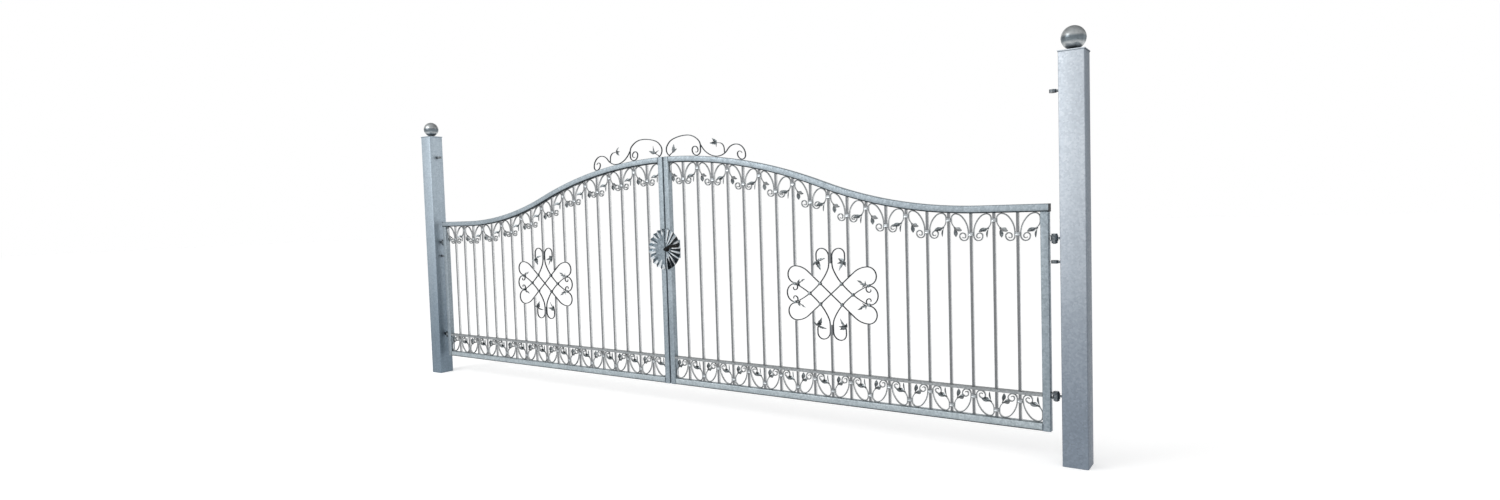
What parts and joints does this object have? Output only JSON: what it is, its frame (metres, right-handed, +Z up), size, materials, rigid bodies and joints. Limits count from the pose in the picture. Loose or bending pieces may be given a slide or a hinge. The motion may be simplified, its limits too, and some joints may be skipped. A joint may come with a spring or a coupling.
{
  "type": "wrought iron double-leaf driveway gate",
  "caption": "Galvanised double-leaf driveway gate with an arched top, square bars, scroll friezes, knot ornaments and crests, hung on eye bolts between square posts with ball tops.",
  "frame": {"origin": "centre of the left post's foot, as seen from the front", "axes": "+X along the gate to the right post, +Y inward, the way the leaves open, +Z up"},
  "size_m": [5.244, 0.142, 2.113],
  "materials": {
    "post_zinc": "hot-dip galvanised steel, pale and dull",
    "ball_zinc": "galvanised steel, half bright",
    "bolt_zinc": "zinc plated steel",
    "frame_zinc": "hot-dip galvanised steel tube",
    "bar_zinc": "hot-dip galvanised square bar",
    "scroll_zinc": "hot-dip galvanised forged strip",
    "rosette_zinc": "hot-dip galvanised pressed plate",
    "black_plastic": "black moulded plastic",
    "lever_black": "black painted lever"
  },
  "bodies": {
    "posts": {"left_post": "post_zinc", "right_post": "post_zinc", "left_post_cap": "post_zinc", "right_post_cap": "post_zinc", "left_post_ball": "ball_zinc", "right_post_ball": "ball_zinc", "left_hinge_eyes": "bolt_zinc", "right_hinge_eyes": "bolt_zinc", "left_spare_eyes": "bolt_zinc", "right_spare_eyes": "bolt_zinc"},
    "left_leaf": {"left_hinge_stile": "frame_zinc", "left_meeting_stile": "frame_zinc", "left_top_rail": "frame_zinc", "left_bottom_rail": "frame_zinc", "left_strip_rail": "frame_zinc", "left_bars": "bar_zinc", "left_top_scrolls": "scroll_zinc", "left_bottom_scrolls": "scroll_zinc", "left_knot": "scroll_zinc", "left_crest": "scroll_zinc", "left_hinge_lugs": "bolt_zinc", "left_hinge_pins": "bolt_zinc", "left_rosette": "rosette_zinc", "left_rail_plug": "black_plastic"},
    "right_leaf": {"right_hinge_stile": "frame_zinc", "right_meeting_stile": "frame_zinc", "right_top_rail": "frame_zinc", "right_bottom_rail": "frame_zinc", "right_strip_rail": "frame_zinc", "right_bars": "bar_zinc", "right_top_scrolls": "scroll_zinc", "right_bottom_scrolls": "scroll_zinc", "right_knot": "scroll_zinc", "right_crest": "scroll_zinc", "right_hinge_lugs": "bolt_zinc", "right_hinge_pins": "bolt_zinc", "right_rosette": "rosette_zinc", "right_rail_plug": "black_plastic", "lock_case": "frame_zinc"},
    "lever": {"lever_handle": "lever_black"}
  },
  "joints": [
    {"name": "left_leaf_swing", "type": "hinge", "parent": "posts", "child": "left_leaf", "pos_m": [0.097, 0, 0.33], "axis": [0, 0, 1], "range_deg": [0, 90]},
    {"name": "right_leaf_swing", "type": "hinge", "parent": "posts", "child": "right_leaf", "pos_m": [5.023, 0, 0.33], "axis": [0, 0, -1], "range_deg": [0, 90]},
    {"name": "lever_turn", "type": "hinge", "parent": "right_leaf", "child": "lever", "pos_m": [2.585, 0, 1.05], "axis": [0, 1, 0], "range_deg": [0, 40], "stiffness_Nm_per_rad": 2, "springref_deg": -22.92}
  ]
}
